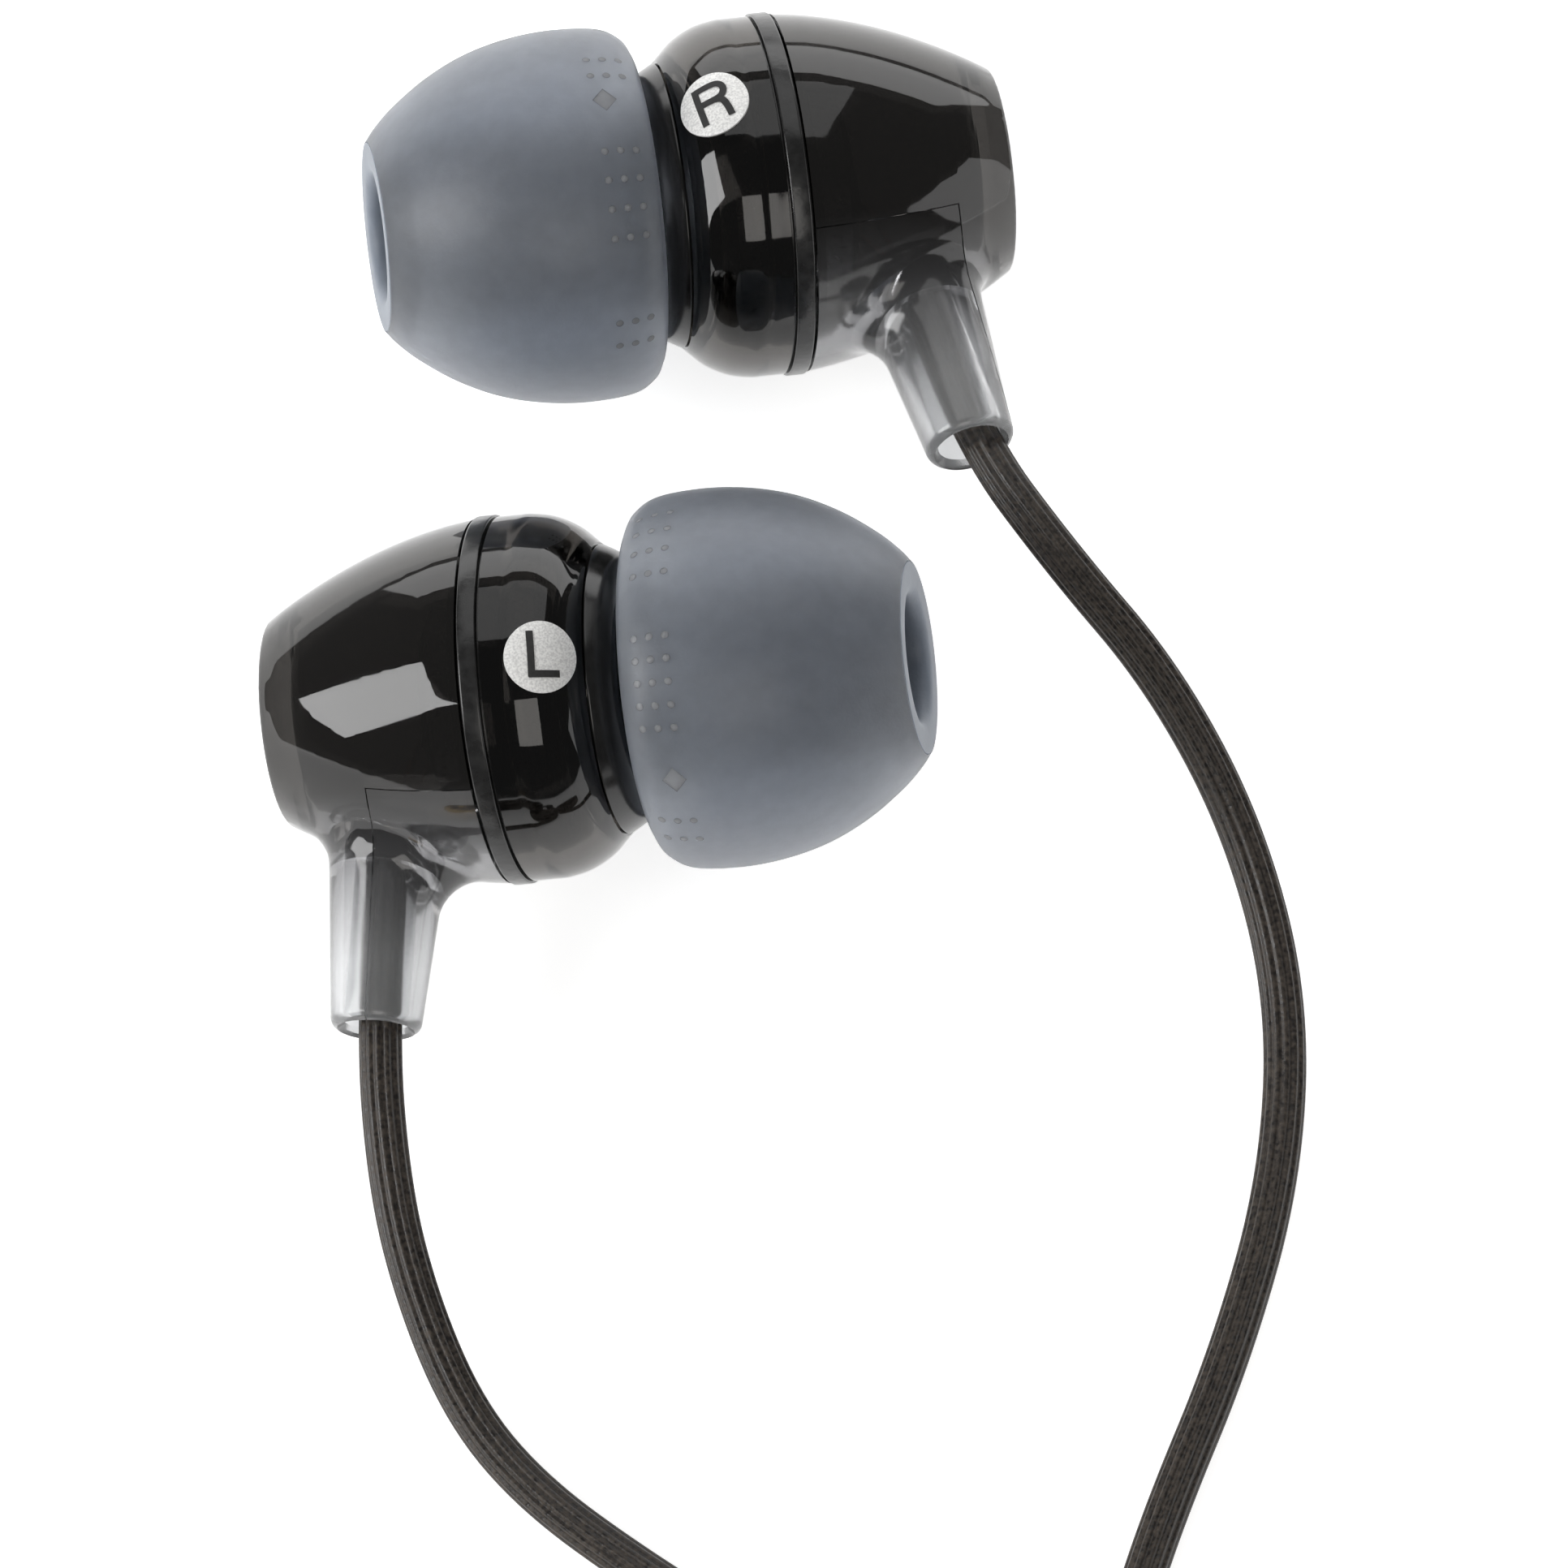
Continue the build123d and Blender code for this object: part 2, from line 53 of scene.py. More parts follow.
# ---- where the earpieces lie: yaw, pitch and roll in degrees ------------------------------------------
POSES = {
    "left": {"at": (-4.16, -6.53, 5.98), "yaw": 1.3, "pitch": 11.6, "roll": -84.3},
    "right": {"at": (4.43, 11.46, 5.96), "yaw": 189.0, "pitch": 4.5, "roll": 97.9},
}
TIP_SEAT = {"left": 0.15, "right": -0.15}
STEM_LEAN = math.radians(6.0)

# ---- the front shell, its channel disc and letter, in local millimetres ---------------------------------
# the shell's outer line as (distance along the sound axis, radius)
SHOULDER = [(0.40, 5.87), (1.0, 5.868), (1.5, 5.855), (2.2, 5.69), (2.85, 5.34), (3.3, 4.93), (3.5, 4.72)]
DISC_X = 2.35
DISC_SEAT_R = 5.62
DISC_TILT = math.radians(24.0)
DISC_TURN = {"left": math.radians(5.4), "right": 0.0}
LETTER_TOP = 0.10
OUTER_SIDE = {"left": -1, "right": 1}
LETTER_STROKES = {
    "left": [[(-0.35, 0.84), (-0.35, -0.66)], [(-0.44, -0.57), (0.57, -0.57)]],
    "right": [[(-0.45, 0.76), (-0.45, -0.72)],
              [(-0.45, 0.65), (0.15, 0.65), (0.40, 0.57), (0.50, 0.36), (0.40, 0.14), (0.15, 0.05),
               (-0.45, 0.05)],
              [(0.08, 0.05), (0.34, -0.06), (0.44, -0.34), (0.48, -0.72)]],
}
STROKE_WIDTH = 0.23
LETTER_TURN = {"left": 0.0, "right": math.radians(8.0)}

# ---- the soft tip's moulded marks: rows of dots and a diamond, in degrees round from the facing side ----
MARK_ROWS = {
    "left": (62, 53, 44, 35, 14, 7, 0, -7, -14, -47, -56),
    "right": (52, 44, 16, 7, -2, -11, -39, -48),
}
DIAMONDS = {"left": -31, "right": 34}
FACING = {"left": math.radians(197.6), "right": math.radians(-31.0)}
DOT_X = 5.25              # the first dot of a row
DOT_STEP = 0.52
DOT_R = 0.13
DIAMOND_X = 6.0
DIAMOND_HALF = (0.40, 0.45)

# ---- camera and lights ----------------------------------------------------------------------------------
CAMERA_AT = (0.00472, -0.15803, 0.35599)
CAMERA_TILT = math.radians(23.0)     # from straight down
CAMERA_LENS = 273.3
WORLD_STRENGTH = 0.12
PAPER_GLOW = 0.7                     # the table glows, which keeps the shadows on it faint

# ---- cords ---------------------------------------------------------------------------------------------
CORD_R = 0.7 * MM
MAIN_R = 0.9 * MM
FLOOR_GAP = 0.05 * MM
CORD_Z = CORD_R + FLOOR_GAP
MAIN_Z = MAIN_R + FLOOR_GAP
COIL_RADIUS = 7.0 * MM
COIL_Y = -46.1 * MM
MAIN_COIL_RADIUS = 10.35 * MM
MAIN_COIL_AT = (-5.35 * MM, -76.1 * MM)
PAIR_X = 11.5 * MM
PAIR_HALF_GAP = 0.95 * MM
PAIR_Z = 2.1 * MM
SPLITTER_TOP_Y = -67.5 * MM
PLUG_RELIEF_Y = -67.1 * MM
PLUG_Z = 2.9 * MM
BRANCH_RIBS = 13
MAIN_RIBS = 15
BRANCH_RIB_DEPTH = 0.085 * MM
MAIN_RIB_DEPTH = 0.09 * MM
BRANCH_STATION = 0.45 * MM         # from one ring of a cord's vertices to the next
MAIN_STATION = 0.8 * MM
LEAD_DROPS = (4 * MM, 13 * MM)     # points of a branch's lead, below the middle of its coil
TURN_POINTS = 16
COIL_ACROSS = 3           # turns side by side in each layer of a coil
COIL_LAYERS = {"left": 2, "right": 2, "main": 4}
COIL_ENTRY = {"left": 45, "right": 160, "main": -80}     # degrees round each coil from +X
COIL_TURNS = {"left": 6 + 45 / 360, "right": 6 + 20 / 360, "main": 11 + 100 / 360}
STEP_START = 0.75         # share of a turn after which it steps to the next ring
ROUTES = {
    "left": [(-.00794, -.01157, .00468), (-.00826, -.0168, .00405), (-.0078, -.0222, .0029),
             (-.0068, -.0258, .0018), (-.0053, -.0291, .0010), (-.0032, -.0316, CORD_Z),
             (-.0001, -.0340, CORD_Z), (.0040, -.0367, CORD_Z)],
    "right": [(.00926, .00724, .00632), (.0106, .0025, .00696), (.0137, -.0019, .0065),
              (.0169, -.0052, .0048), (.0195, -.0095, .0026), (.0209, -.0149, .0013),
              (.0206, -.0209, .0008), (.0189, -.0270, CORD_Z), (.0167, -.0324, CORD_Z),
              (.0154, -.0365, CORD_Z), (.01425, -.0399, CORD_Z)],
}
MAIN_LEAD = [(.0115, -.0750, .0021), (.0115, -.07835, .0019), (.0104, -.08155, .00165),
             (.00825, -.08425, .0014), (.0050, -.0863, .00115), (.0007, -.0874, .0010)]
MAIN_END = [(-.0731, .0056), (-.0701, .0036)]     # (y, z) from the coil up to the plug


# ---- helpers -------------------------------------------------------------------------------------------
def pose_matrix(side):
    """Local millimetres of one earpiece to metres in the frame."""
    pose = POSES[side]
    at = Matrix.Translation(Vector(pose["at"]) * MM)
    turn = (Matrix.Rotation(math.radians(pose["yaw"]), 4, "Z")
            @ Matrix.Rotation(-math.radians(pose["pitch"]), 4, "Y")
            @ Matrix.Rotation(math.radians(pose["roll"]), 4, "X"))
    return at @ turn @ Matrix.Scale(MM, 4)


def piece(name, vertices, faces, material, body=ROOT, slot=None, replaces=()):
    """A smooth-shaded mesh object that rides on a body."""
    mesh = bpy.data.meshes.new(name)
    mesh.from_pydata([tuple(v) for v in vertices], [], faces)
    mesh.validate()
    mesh.materials.append(material)
    mesh.polygons.foreach_set("use_smooth", [True] * len(mesh.polygons))
    obj = bpy.data.objects.new(name, mesh)
    bpy.context.collection.objects.link(obj)
    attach(obj, body)
    if replaces:
        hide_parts(*replaces)
    return obj


def rounded(corners, steps=6):
    """A closed outline from (x, r, radius) corners, each cut back by its radius and rounded by a curve."""
    points = []
    count = len(corners)
    for i, (x, r, radius) in enumerate(corners):
        here = np.array((x, r))
        before = np.array(corners[i - 1][:2]) - here
        after = np.array(corners[(i + 1) % count][:2]) - here
        if radius <= 0:
            points.append(tuple(here))
            continue
        before /= np.linalg.norm(before)
        after /= np.linalg.norm(after)
        for step in range(steps + 1):
            t = step / steps
            pull = (1 - t) ** 2 * before + t ** 2 * after
            points.append(tuple(here + radius * pull))
    return points


def through(points, steps=8):
    """A smooth line through a few points, as a Catmull-Rom spline."""
    p = np.array([points[0], *points, points[-1]], float)
    p[0] = 2 * p[1] - p[2]
    p[-1] = 2 * p[-2] - p[-3]
    line = []
    for a, b, c, d in zip(p, p[1:], p[2:], p[3:]):
        for step in range(steps):
            t = step / steps
            line.append(tuple(0.5 * (2 * b + (c - a) * t + (2 * a - 5 * b + 4 * c - d) * t ** 2
                                     + (3 * b - a - 3 * c + d) * t ** 3)))
    line.append(tuple(p[-2]))
    return line


def lathe(name, side, outline, material, segments=160, **kind):
    """A closed ring: the outline turned about the sound axis."""
    place = pose_matrix(side)
    vertices, faces = [], []
    count = len(outline)
    for i in range(segments):
        angle = 2 * math.pi * i / segments
        vertices += [place @ Vector((x, r * math.cos(angle), r * math.sin(angle))) for x, r in outline]
    for i in range(segments):
        a, b = i * count, (i + 1) % segments * count
        for j in range(count):
            k = (j + 1) % count
            faces.append((a + j, a + k, b + k, b + j))
    obj = piece(name, vertices, faces, material, **kind)
    weld(obj)
    return obj


def weld(obj, distance=JOIN_DISTANCE, angle=40.0):
    """Joins coincident points and keeps edges sharper than the angle crisp."""
    work = bmesh.new()
    work.from_mesh(obj.data)
    bmesh.ops.remove_doubles(work, verts=work.verts, dist=distance)
    bmesh.ops.dissolve_degenerate(work, edges=work.edges, dist=1e-8)
    bmesh.ops.recalc_face_normals(work, faces=work.faces)
    work.to_mesh(obj.data)
    work.free()
    obj.data.set_sharp_from_angle(angle=math.radians(angle))


def smooth_group():
    """Geometry nodes for CAD meshes: joins shared points, then shades smooth but for sharp edges."""
    group = bpy.data.node_groups.new("join_and_smooth", "GeometryNodeTree")
    group.interface.new_socket("Geometry", in_out="INPUT", socket_type="NodeSocketGeometry")
    group.interface.new_socket("Geometry", in_out="OUTPUT", socket_type="NodeSocketGeometry")
    nodes, links = group.nodes, group.links
    start, end = nodes.new("NodeGroupInput"), nodes.new("NodeGroupOutput")
    join = nodes.new("GeometryNodeMergeByDistance")
    join.inputs["Distance"].default_value = JOIN_DISTANCE
    faces = nodes.new("GeometryNodeSetShadeSmooth")
    edges = nodes.new("GeometryNodeSetShadeSmooth")
    edges.domain = "EDGE"
    edges.inputs["Shade Smooth"].default_value = False
    angle = nodes.new("GeometryNodeInputMeshEdgeAngle")
    sharp = nodes.new("FunctionNodeCompare")
    sharp.operation = "GREATER_THAN"
    sharp.inputs["B"].default_value = CAD_SHARP_ANGLE
    links.new(start.outputs[0], join.inputs[0])
    links.new(join.outputs[0], faces.inputs[0])
    links.new(faces.outputs[0], edges.inputs[0])
    links.new(angle.outputs["Unsigned Angle"], sharp.inputs["A"])
    links.new(sharp.outputs[0], edges.inputs["Selection"])
    links.new(edges.outputs[0], end.inputs[0])
    return group


# ---- materials -----------------------------------------------------------------------------------------
def material(name, colour=(0.5, 0.5, 0.5), roughness=0.5, **sockets):
    """A Principled material, and its nodes, links and shader for detail to be added to."""
    mat = bpy.data.materials.new(name)
    mat.use_nodes = True
    shader = mat.node_tree.nodes["Principled BSDF"]
    shader.inputs["Base Color"].default_value = (*colour, 1)
    shader.inputs["Roughness"].default_value = roughness
    for socket, value in sockets.items():
        shader.inputs[socket.replace("_", " ")].default_value = value
    return mat, mat.node_tree.nodes, mat.node_tree.links, shader


def coordinates(nodes, links, matrix=None):
    """Object coordinates, or an earpiece's local millimetres when its matrix is given."""
    source = nodes.new("ShaderNodeTexCoord").outputs["Object"]
    if matrix is None:
        return source
    inverse = matrix.inverted()
    mapping = nodes.new("ShaderNodeMapping")
    place, turn, scale = inverse.decompose()
    mapping.inputs["Location"].default_value = place
    mapping.inputs["Rotation"].default_value = turn.to_euler()
    mapping.inputs["Scale"].default_value = scale
    links.new(source, mapping.inputs["Vector"])
    return mapping.outputs["Vector"]


def noise(nodes, links, vector, scale, detail=2.0):
    texture = nodes.new("ShaderNodeTexNoise")
    texture.inputs["Scale"].default_value = scale
    texture.inputs["Detail"].default_value = detail
    links.new(vector, texture.inputs["Vector"])
    return texture.outputs["Fac"]


def ramp(nodes, links, factor, stops):
    """A colour ramp of (position, colour) stops."""
    node = nodes.new("ShaderNodeValToRGB")
    elements = node.color_ramp.elements
    while len(elements) < len(stops):
        elements.new(0.5)
    for element, (position, colour) in zip(elements, stops):
        element.position = position
        element.color = (*colour, 1)
    links.new(factor, node.inputs["Fac"])
    return node.outputs["Color"]


def remap(nodes, links, value, low, high, to_low=0.0, to_high=1.0):
    node = nodes.new("ShaderNodeMapRange")
    for socket, number in (("From Min", low), ("From Max", high), ("To Min", to_low), ("To Max", to_high)):
        node.inputs[socket].default_value = number
    links.new(value, node.inputs["Value"])
    return node.outputs["Result"]


def bump(nodes, links, shader, height, distance, strength=1.0):
    node = nodes.new("ShaderNodeBump")
    node.inputs["Distance"].default_value = distance
    node.inputs["Strength"].default_value = strength
    links.new(height, node.inputs["Height"])
    links.new(node.outputs["Normal"], shader.inputs["Normal"])


def speckled(name, colour, roughness, grain, depth, spread=0.25, **sockets):
    """A plain finish with fine grain: a little colour change, roughness change and bump."""
    mat, nodes, links, shader = material(name, colour, roughness, **sockets)
    vector = coordinates(nodes, links)
    fine = noise(nodes, links, vector, grain)
    dark = tuple(c * (1 - spread) for c in colour)
    light = tuple(min(1.0, c * (1 + spread)) for c in colour)
    links.new(ramp(nodes, links, fine, [(0.35, dark), (0.65, light)]), shader.inputs["Base Color"])
    links.new(remap(nodes, links, fine, 0.3, 0.7, roughness * 0.85, min(1.0, roughness * 1.15)),
              shader.inputs["Roughness"])
    bump(nodes, links, shader, fine, depth)
    return mat


def smoked_plastic(side):
    """Clear smoked plastic: nearly black round the housing and clearer down the stem."""
    mat, nodes, links, shader = material(f"{side}_smoked_plastic", (0.2, 0.19, 0.18), 0.035,
                                         Transmission_Weight=0.88, IOR=1.52)
    vector = coordinates(nodes, links, pose_matrix(side))
    down = nodes.new("ShaderNodeVectorMath")
    down.operation = "DOT_PRODUCT"
    down.inputs[1].default_value = (-math.sin(STEM_LEAN), 0, -math.cos(STEM_LEAN))
    links.new(vector, down.inputs[0])
    along = remap(nodes, links, down.outputs["Value"], 4.0, 9.0)
    tint = ramp(nodes, links, along, [(0.0, (0.05, 0.047, 0.044)), (0.3, (0.30, 0.30, 0.31)),
                                      (1.0, (0.78, 0.79, 0.80))])
    links.new(tint, shader.inputs["Base Color"])
    frosting = remap(nodes, links, down.outputs["Value"], 4.0, 7.0, 0.02, 0.12)
    smears = remap(nodes, links, noise(nodes, links, vector, 0.35, 4), 0.35, 0.70, 0.0, 0.05)
    total = nodes.new("ShaderNodeMath")
    links.new(frosting, total.inputs[0])
    links.new(smears, total.inputs[1])
    links.new(total.outputs["Value"], shader.inputs["Roughness"])
    return mat


def front_plastic():
    """The front shell's darker smoked plastic, its gloss very slightly uneven from handling."""
    mat, nodes, links, shader = material("front_smoked_plastic", (0.06, 0.055, 0.05), 0.03,
                                         Transmission_Weight=1.0, IOR=1.52)
    smears = noise(nodes, links, coordinates(nodes, links), 350, 4)
    links.new(remap(nodes, links, smears, 0.35, 0.70, 0.02, 0.07), shader.inputs["Roughness"])
    return mat


def silicone(name, colour, weight):
    """Frosted silicone: mostly scattered light, partly a blurred view of what is inside."""
    mat, nodes, links, shader = material(name, colour, 0.42, IOR=1.41, Transmission_Weight=weight,
                                         Subsurface_Weight=1.0, Subsurface_Scale=MM)
    shader.inputs["Subsurface Radius"].default_value = (1.0, 1.0, 1.0)
    vector = coordinates(nodes, links)
    mottle = noise(nodes, links, vector, 1800, 3)
    low = tuple(c * 0.93 for c in colour)
    high = tuple(min(1.0, c * 1.06) for c in colour)
    links.new(ramp(nodes, links, mottle, [(0.3, low), (0.7, high)]), shader.inputs["Base Color"])
    fine = noise(nodes, links, vector, 9000, 2)
    bump(nodes, links, shader, fine, 0.00001, 0.6)
    return mat


def cord_rubber():
    """Soft black-brown jacket with fine streaks along its ribs."""
    mat, nodes, links, shader = material("cord_jacket", (0.012, 0.010, 0.009), 0.42, IOR=1.5)
    vector = coordinates(nodes, links)
    fine = noise(nodes, links, vector, 6000, 3)
    links.new(ramp(nodes, links, fine, [(0.35, (0.007, 0.005, 0.004)), (0.7, (0.055, 0.042, 0.031))]),
              shader.inputs["Base Color"])
    links.new(remap(nodes, links, fine, 0.3, 0.7, 0.30, 0.55), shader.inputs["Roughness"])
    bump(nodes, links, shader, fine, 0.00002, 0.8)
    return mat


def silver_label():
    mat, nodes, links, shader = material("silver_label", (0.80, 0.80, 0.79), 0.42, Metallic=0.2)
    vector = coordinates(nodes, links)
    flakes = noise(nodes, links, vector, 14000, 1)
    links.new(ramp(nodes, links, flakes, [(0.35, (0.72, 0.72, 0.71)), (0.65, (0.98, 0.98, 0.96))]),
              shader.inputs["Base Color"])
    bump(nodes, links, shader, flakes, 0.00001, 0.7)
    return mat


MATERIALS = {
    "front": front_plastic(),
    "tip": silicone("tip_silicone", (0.47, 0.50, 0.55), 0.78),
    "core": silicone("core_silicone", (0.18, 0.205, 0.245), 0.0),
    "mark": silicone("mark_silicone", (0.26, 0.27, 0.29), 0.0),
    "cord": cord_rubber(),
    "label": silver_label(),
    "black": speckled("black_plastic", (0.010, 0.010, 0.010), 0.18, 4000, 0.000002),
    "ring": speckled("ring_plastic", (0.016, 0.016, 0.016), 0.22, 2500, 0.00001),
    "ink": speckled("label_ink", (0.020, 0.020, 0.020), 0.6, 8000, 0.000003),
    "satin": speckled("satin_black", (0.014, 0.014, 0.014), 0.5, 5000, 0.00001),
    "gold": speckled("gold_plate", (0.83, 0.60, 0.26), 0.16, 3000, 0.000002, 0.06, Metallic=1.0),
    "steel": speckled("plated_steel", (0.50, 0.50, 0.52), 0.3, 5000, 0.000003, 0.1, Metallic=1.0),
    "copper": speckled("enamelled_copper", (0.55, 0.22, 0.10), 0.25, 5000, 0.000003, 0.1, Metallic=1.0),
    "film": speckled("film", (0.60, 0.55, 0.45), 0.2, 4000, 0.000003),
    "board": speckled("circuit_board", (0.02, 0.12, 0.05), 0.4, 3000, 0.000005),
    "felt": speckled("felt", (0.05, 0.05, 0.05), 0.95, 9000, 0.00004, 0.5),
}
CAD_FINISH = {
    "nozzle_mesh": "steel", "driver_frame": "black", "yoke": "steel",
    "magnet": "steel", "top_plate": "steel", "voice_coil": "copper", "diaphragm": "film",
    "driver_front_plate": "steel", "terminal_board": "board", "damping_felt": "felt",
    "cord_knot": "cord", "driver_wires": "copper", "channel_disc": "label",
}
CORD_SET_FINISH = {
    "cord_slider": "satin", "y_splitter": "satin", "plug_body": "satin", "plug_strain_relief": "satin",
    "plug_sleeve": "gold", "plug_ring": "gold", "plug_tip": "gold", "plug_insulators": "black",
}


def dress(node, mat, smooth):
    """Gives a CAD node its material and smooth shading."""
    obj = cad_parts[node]
    for slot in obj.material_slots:
        slot.material = mat
    if not obj.material_slots:
        obj.data.materials.append(mat)
    modifier = obj.modifiers.new("smooth", "NODES")
    modifier.node_group = smooth


# ---- cords ---------------------------------------------------------------------------------------------
def nurbs_points(name, controls):
    """Points of the cord's smooth line, read from a NURBS spline through its control points."""
    curve = bpy.data.curves.new(name, "CURVE")
    curve.dimensions = "3D"
    curve.resolution_u = 12
    spline = curve.splines.new("NURBS")
    spline.points.add(len(controls) - 1)
    for point, place in zip(spline.points, controls):
        point.co = (*place, 1)
    spline.order_u = 3
    spline.use_endpoint_u = True
    holder = bpy.data.objects.new(name, curve)
    bpy.context.collection.objects.link(holder)
    bpy.context.view_layer.update()
    mesh = bpy.data.meshes.new_from_object(holder)
    points = np.array([v.co for v in mesh.vertices], float)
    bpy.data.objects.remove(holder)
    bpy.data.curves.remove(curve)
    bpy.data.meshes.remove(mesh)
    return points


def coil_turns(which, centre, inner, pitch, first_z, clockwise):
    """Control points of a neat coil: a turn keeps to its ring and steps to the next ring near its end."""
    spread = 1 / math.cos(math.pi / TURN_POINTS)
    sign = -1 if clockwise else 1
    turns = COIL_TURNS[which]
    start = math.radians(COIL_ENTRY[which])
    seats = []
    for layer in range(COIL_LAYERS[which]):
        rings = [inner + pitch * k for k in range(COIL_ACROSS)]
        if layer % 2 == 0:
            rings.reverse()
        seats += [(ring, first_z + pitch * layer) for ring in rings]
    seats += [seats[-1], seats[-1]]
    points = []
    for i in range(round(turns * TURN_POINTS) + 1):
        turn = min(i / TURN_POINTS, turns)
        whole = int(turn)
        step = max(0.0, (turn - whole - STEP_START) / (1 - STEP_START))
        radius, z = (a + (b - a) * step for a, b in zip(seats[whole], seats[whole + 1]))
        angle = start + sign * 2 * math.pi * turn
        points.append((centre[0] + radius * spread * math.cos(angle),
                       centre[1] + radius * spread * math.sin(angle), z))
    return points


def ribbed_tube(name, line, radius, ribs, rib_depth, mat, spacing, **kind):
    """A tube along a line of points, its section a circle with shallow rounded ribs."""
    steps = np.linalg.norm(np.diff(line, axis=0), axis=1)
    length = np.concatenate([[0], np.cumsum(steps)])
    stations = np.concatenate([np.arange(0, length[-1], spacing), [length[-1]]])
    path = np.stack([np.interp(stations, length, line[:, k]) for k in range(3)], 1)
    around = 6 * ribs
    angles = 2 * np.pi * np.arange(around) / around
    reach = radius - rib_depth * (1 - np.abs(np.cos(ribs * angles / 2)))
    tangent = np.gradient(path, axis=0)
    tangent /= np.linalg.norm(tangent, axis=1)[:, None]
    side = np.cross(tangent[0], (0, 0, 1.0))
    side /= np.linalg.norm(side)
    vertices, faces = [], []
    for place, ahead in zip(path, tangent):
        side = side - ahead * side.dot(ahead)
        side /= np.linalg.norm(side)
        up = np.cross(side, ahead)
        vertices += list(place + reach[:, None] * (np.cos(angles)[:, None] * side
                                                   + np.sin(angles)[:, None] * up))
    for i in range(len(path) - 1):
        for j in range(around):
            k = (j + 1) % around
            faces.append((i * around + j, i * around + k, (i + 1) * around + k, (i + 1) * around + j))
    faces.append(tuple(reversed(range(around))))
    faces.append(tuple(range((len(path) - 1) * around, len(path) * around)))
    return piece(name, vertices, faces, mat, **kind), path


def branch_cord(side):
    """A branch cord from its knot, over the table, round its coil and down to the splitter."""
    sign = -1 if side == "left" else 1
    centre = (PAIR_X + sign * (PAIR_HALF_GAP + COIL_RADIUS + 2 * CORD_R), COIL_Y)
    controls = list(ROUTES[side])
    controls += coil_turns(side, centre, COIL_RADIUS - 2 * CORD_R, 2 * CORD_R, CORD_Z, side == "left")
    x = PAIR_X + sign * PAIR_HALF_GAP
    controls += [(x, COIL_Y - drop, PAIR_Z) for drop in LEAD_DROPS]
    controls.append((x, SPLITTER_TOP_Y, PAIR_Z))
    line = nurbs_points(f"{side}_cord_line", controls)
    cord, path = ribbed_tube(f"{side}_branch_cord", line, CORD_R, BRANCH_RIBS, BRANCH_RIB_DEPTH,
                             MATERIALS["cord"], BRANCH_STATION, slot="cord",
                             replaces=(f"{side}_cord", f"{side}_cord_coil", f"{side}_cord_lead"))


def main_cord():
    """The main cord from the splitter, round its coil and up to the plug."""
    controls = list(MAIN_LEAD)
    controls += coil_turns("main", MAIN_COIL_AT, MAIN_COIL_RADIUS - 2 * MAIN_R, 2 * MAIN_R, MAIN_Z, True)
    x = MAIN_COIL_AT[0] - MAIN_COIL_RADIUS - 2 * MAIN_R
    controls += [(x, y, z) for y, z in MAIN_END]
    controls.append((x, PLUG_RELIEF_Y, PLUG_Z))
    line = nurbs_points("main_cord_line", controls)
    cord, path = ribbed_tube("main_cord", line, MAIN_R, MAIN_RIBS, MAIN_RIB_DEPTH, MATERIALS["cord"],
                             MAIN_STATION, slot="cord",
                             replaces=("main_cord_lead", "main_cord_coil", "main_cord_end"))


# ---- earpieces -----------------------------------------------------------------------------------------
TIP_SKIN = through([(13.3, 3.12), (12.95, 3.55), (12.3, 4.15), (11.2, 4.92), (9.9, 5.55), (8.5, 5.93),
                    (7.0, 6.08), (5.5, 5.97), (4.8, 5.6), (4.56, 5.2)])


def ear_tip(side):
    """The silicone dome with its curled-in skirt."""
    seat = TIP_SEAT[side]
    inner = through([(4.72, 5.04), (5.4, 5.42), (7.0, 5.62), (8.9, 5.4), (10.6, 4.6), (12.2, 3.1)])
    outline = [(x + seat, r) for x, r in TIP_SKIN + inner + [(12.8, 3.1)]]
    lathe(f"{side}_silicone_dome", side, outline, MATERIALS["tip"], body=f"{side}_tip",
          slot="ear_tip", replaces=(f"{side}_ear_tip",))


def ear_tip_core(side):
    """The sleeve that grips the nozzle, its mouth rounded at the nose."""
    seat = TIP_SEAT[side]
    outline = rounded([(4.75, 2.7, 0.1), (8.9, 2.7, 0.2), (9.3, 1.98, 0.3), (13.3, 1.98, 0.45),
                       (13.32, 3.09, 0.06), (4.75, 3.1, 0.15)])
    lathe(f"{side}_silicone_core", side, [(x + seat, r) for x, r in outline], MATERIALS["core"],
          body=f"{side}_tip", slot="ear_tip_core", replaces=(f"{side}_ear_tip_core",))


def front_housing(side):
    """The front shell: a short land at the seam, then a full shoulder down to the nozzle's collar."""
    shoulder = through(SHOULDER)
    inner = through([(2.75, 3.95), (2.4, 4.5), (1.5, 4.97), (0.9, 4.975), (0.40, 4.97)])
    outline = shoulder + [(3.5, 3.95)] + inner
    lathe(f"{side}_front_shell", side, outline, MATERIALS["front"], slot="housing",
          replaces=(f"{side}_front_housing",))


def trim_ring(side):
    """The ring in the seam, with a fine groove each side."""
    outline = rounded([(-0.38, 5.03, 0), (0.38, 5.03, 0), (0.38, 5.68, 0.03), (0.30, 5.68, 0.02),
                       (0.30, 5.94, 0.07), (-0.30, 5.94, 0.07), (-0.30, 5.68, 0.02), (-0.38, 5.68, 0.03)], 4)
    lathe(f"{side}_seam_ring", side, outline, MATERIALS["ring"], slot="trim_ring",
          replaces=(f"{side}_trim_ring",))


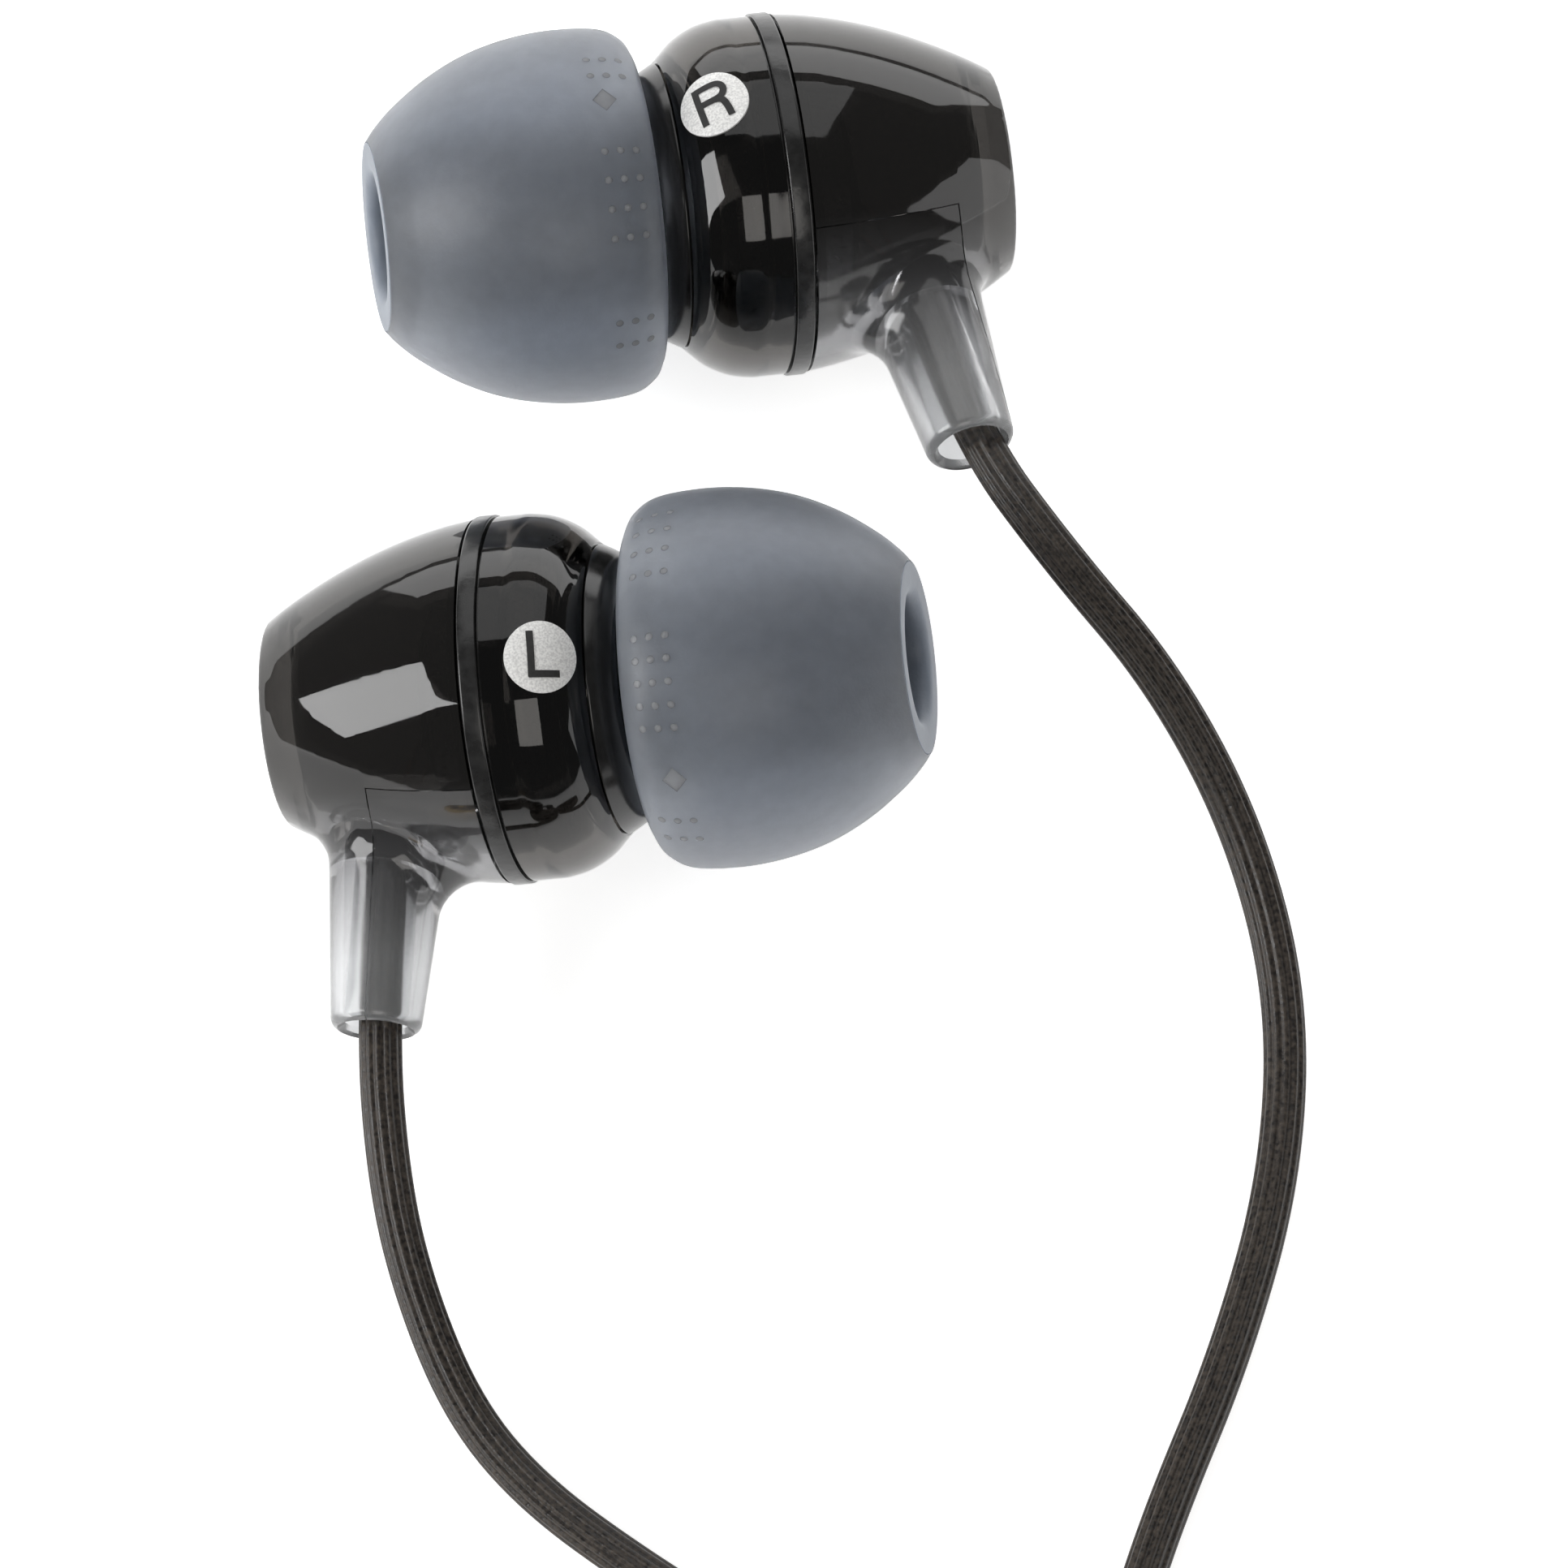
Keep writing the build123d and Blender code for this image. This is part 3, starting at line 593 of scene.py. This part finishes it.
def nozzle(side):
    """The black nozzle with its rounded shoulder."""
    outline = rounded([(2.3, 1.7, 0), (2.3, 3.88, 0.1), (3.5, 3.88, 0), (3.52, 4.69, 0.12), (4.42, 4.2, 0.5),
                       (4.42, 2.3, 0.2), (7.3, 2.3, 0.05), (7.5, 2.57, 0.08), (7.9, 2.57, 0.15),
                       (8.4, 2.25, 0.12), (8.4, 1.7, 0.12)])
    lathe(f"{side}_nozzle_body", side, outline, MATERIALS["black"], slot="nozzle",
          replaces=(f"{side}_nozzle",))


def on_shoulder(side, across, up, height):
    """A point of the channel disc's flat drawing, laid on the front shell's curved shoulder."""
    outward = np.array((math.sin(DISC_TILT), OUTER_SIDE[side] * math.cos(DISC_TILT), 0))
    rightward = np.array((-outward[1], outward[0], 0))
    line = np.array(through(SHOULDER))
    point = np.array((DISC_X, OUTER_SIDE[side] * DISC_SEAT_R, 0)) + across * rightward + np.array((0, 0, up))
    for _ in range(12):
        reach = math.hypot(point[1], point[2])
        wanted = np.interp(point[0], line[:, 0], line[:, 1]) + height
        point = point + outward * (wanted - reach)
    turn = DISC_TURN[side]
    x, y, z = point
    return x, y * math.cos(turn) - z * math.sin(turn), y * math.sin(turn) + z * math.cos(turn)


def channel_letter(side):
    """The ear's letter as plain strokes on the disc."""
    place = pose_matrix(side)
    slant = LETTER_TURN[side]
    vertices, faces = [], []
    for number, stroke in enumerate(LETTER_STROKES[side]):
        line = np.array(stroke, float)
        if len(line) > 2:
            line = np.array(through(stroke, 5))
        else:
            line = np.linspace(line[0], line[1], 16)
        ahead = np.gradient(line, axis=0)
        ahead /= np.linalg.norm(ahead, axis=1)[:, None]
        first = len(vertices)
        for (a, b), (da, db) in zip(line, ahead):
            for share in (-0.5, -0.25, 0, 0.25, 0.5):
                across, up = a - db * STROKE_WIDTH * share, b + da * STROKE_WIDTH * share
                spot = (across * math.cos(slant) - up * math.sin(slant),
                        across * math.sin(slant) + up * math.cos(slant))
                vertices.append(place @ Vector(on_shoulder(side, *spot, LETTER_TOP + 0.002 * number)))
        for i in range(len(line) - 1):
            for j in range(4):
                k = first + 5 * i + j
                faces.append((k, k + 1, k + 6, k + 5))
    piece(f"{side}_channel_letter", vertices, faces, MATERIALS["ink"], slot="channel_disc")


def tip_marks(side):
    """Tiny moulded dots in rows of three, and one small diamond, under the dome's rim."""
    place = pose_matrix(side)
    seat = TIP_SEAT[side]
    skin = np.array(sorted(TIP_SKIN))
    vertices, faces = [], []

    def bead(x, angle, long, wide, corners):
        centre = len(vertices)
        r = np.interp(x, skin[:, 0], skin[:, 1]) + 0.04
        vertices.append(place @ Vector((x + seat, r * math.cos(angle), r * math.sin(angle))))
        for i in range(corners):
            turn = 2 * math.pi * i / corners
            px = x + long * math.cos(turn)
            pr = np.interp(px, skin[:, 0], skin[:, 1]) + 0.012
            spin = angle + wide * math.sin(turn) / pr
            vertices.append(place @ Vector((px + seat, pr * math.cos(spin), pr * math.sin(spin))))
            faces.append((centre, centre + 1 + i, centre + 1 + (i + 1) % corners))

    for row in MARK_ROWS[side]:
        for step in range(3):
            angle = FACING[side] + math.radians(row) * (-1 if side == "left" else 1)
            bead(DOT_X + DOT_STEP * step, angle, DOT_R, DOT_R, 12)
    angle = FACING[side] + math.radians(DIAMONDS[side]) * (-1 if side == "left" else 1)
    bead(DIAMOND_X, angle, *DIAMOND_HALF, 4)
    piece(f"{side}_tip_marks", vertices, faces, MATERIALS["mark"], body=f"{side}_tip", slot="ear_tip")


def earpiece(side, smooth):
    channel_letter(side)
    tip_marks(side)
    ear_tip(side)
    ear_tip_core(side)
    front_housing(side)
    trim_ring(side)
    nozzle(side)
    smoked = smoked_plastic(side)
    for name in ("rear_housing", "stem_cover"):
        dress(f"{side}_{name}", smoked, smooth)
    for name, finish in CAD_FINISH.items():
        dress(f"{side}_{name}", MATERIALS[finish], smooth)


# ---- stage ---------------------------------------------------------------------------------------------
def camera():
    """The picture's own view: steep, from the front, through a long lens."""
    data = bpy.data.cameras.new("camera")
    data.sensor_width = 36.0
    data.lens = CAMERA_LENS
    data.clip_start = 0.01
    obj = bpy.data.objects.new("camera", data)
    obj.location = CAMERA_AT
    obj.rotation_euler = (CAMERA_TILT, 0, 0)
    bpy.context.collection.objects.link(obj)
    bpy.context.scene.camera = obj


def area_light(name, place, target, size, power, colour=(1, 1, 1)):
    data = bpy.data.lights.new(name, "AREA")
    data.shape = "RECTANGLE"
    data.size, data.size_y = size
    data.energy = power
    data.color = colour
    obj = bpy.data.objects.new(name, data)
    obj.location = place
    obj.rotation_euler = (Vector(target) - Vector(place)).to_track_quat("-Z", "Y").to_euler()
    bpy.context.collection.objects.link(obj)


def studio():
    """A plain white table under soft light, with dim surroundings for dark, clean reflections."""
    half = 1.5
    mesh = bpy.data.meshes.new("table_top")
    mesh.from_pydata([(-half, -half, 0), (half, -half, 0), (half, half, 0), (-half, half, 0)], [],
                     [(0, 1, 2, 3)])
    paper, _, _, shader = material("white_paper", (0.9, 0.9, 0.9), 0.9, Emission_Strength=PAPER_GLOW)
    shader.inputs["Emission Color"].default_value = (1, 1, 1, 1)
    mesh.materials.append(paper)
    table = bpy.data.objects.new("table_top", mesh)
    bpy.context.collection.objects.link(table)
    world = bpy.data.worlds.new("studio")
    bpy.context.scene.world = world
    world.use_nodes = True
    world.node_tree.nodes["Background"].inputs["Color"].default_value = (1, 1, 1, 1)
    world.node_tree.nodes["Background"].inputs["Strength"].default_value = WORLD_STRENGTH
    area_light("top_panel", (0.0, 0.55, 0.80), (0, 0, 0), (1.0, 0.7), 2.2)
    area_light("low_back_panel", (0.05, 0.75, 0.22), (0, 0, 0.01), (1.3, 0.34), 3.0)
    area_light("left_softbox", (-0.55, -0.12, 0.34), (0, 0, 0), (0.34, 0.40), 3.0)
    area_light("right_softbox", (0.60, -0.10, 0.12), (0, 0, 0), (0.36, 0.30), 0.5)
    area_light("front_softbox", (0.07, -0.60, 0.75), (0, 0, 0), (0.46, 0.50), 1.6, (1.0, 0.97, 0.93))
    bpy.context.scene.view_settings.view_transform = "Standard"


camera()
studio()
smooth = smooth_group()
for side in SIDES:
    branch_cord(side)
main_cord()
for side in SIDES:
    earpiece(side, smooth)
for node, finish in CORD_SET_FINISH.items():
    dress(node, MATERIALS[finish], smooth)
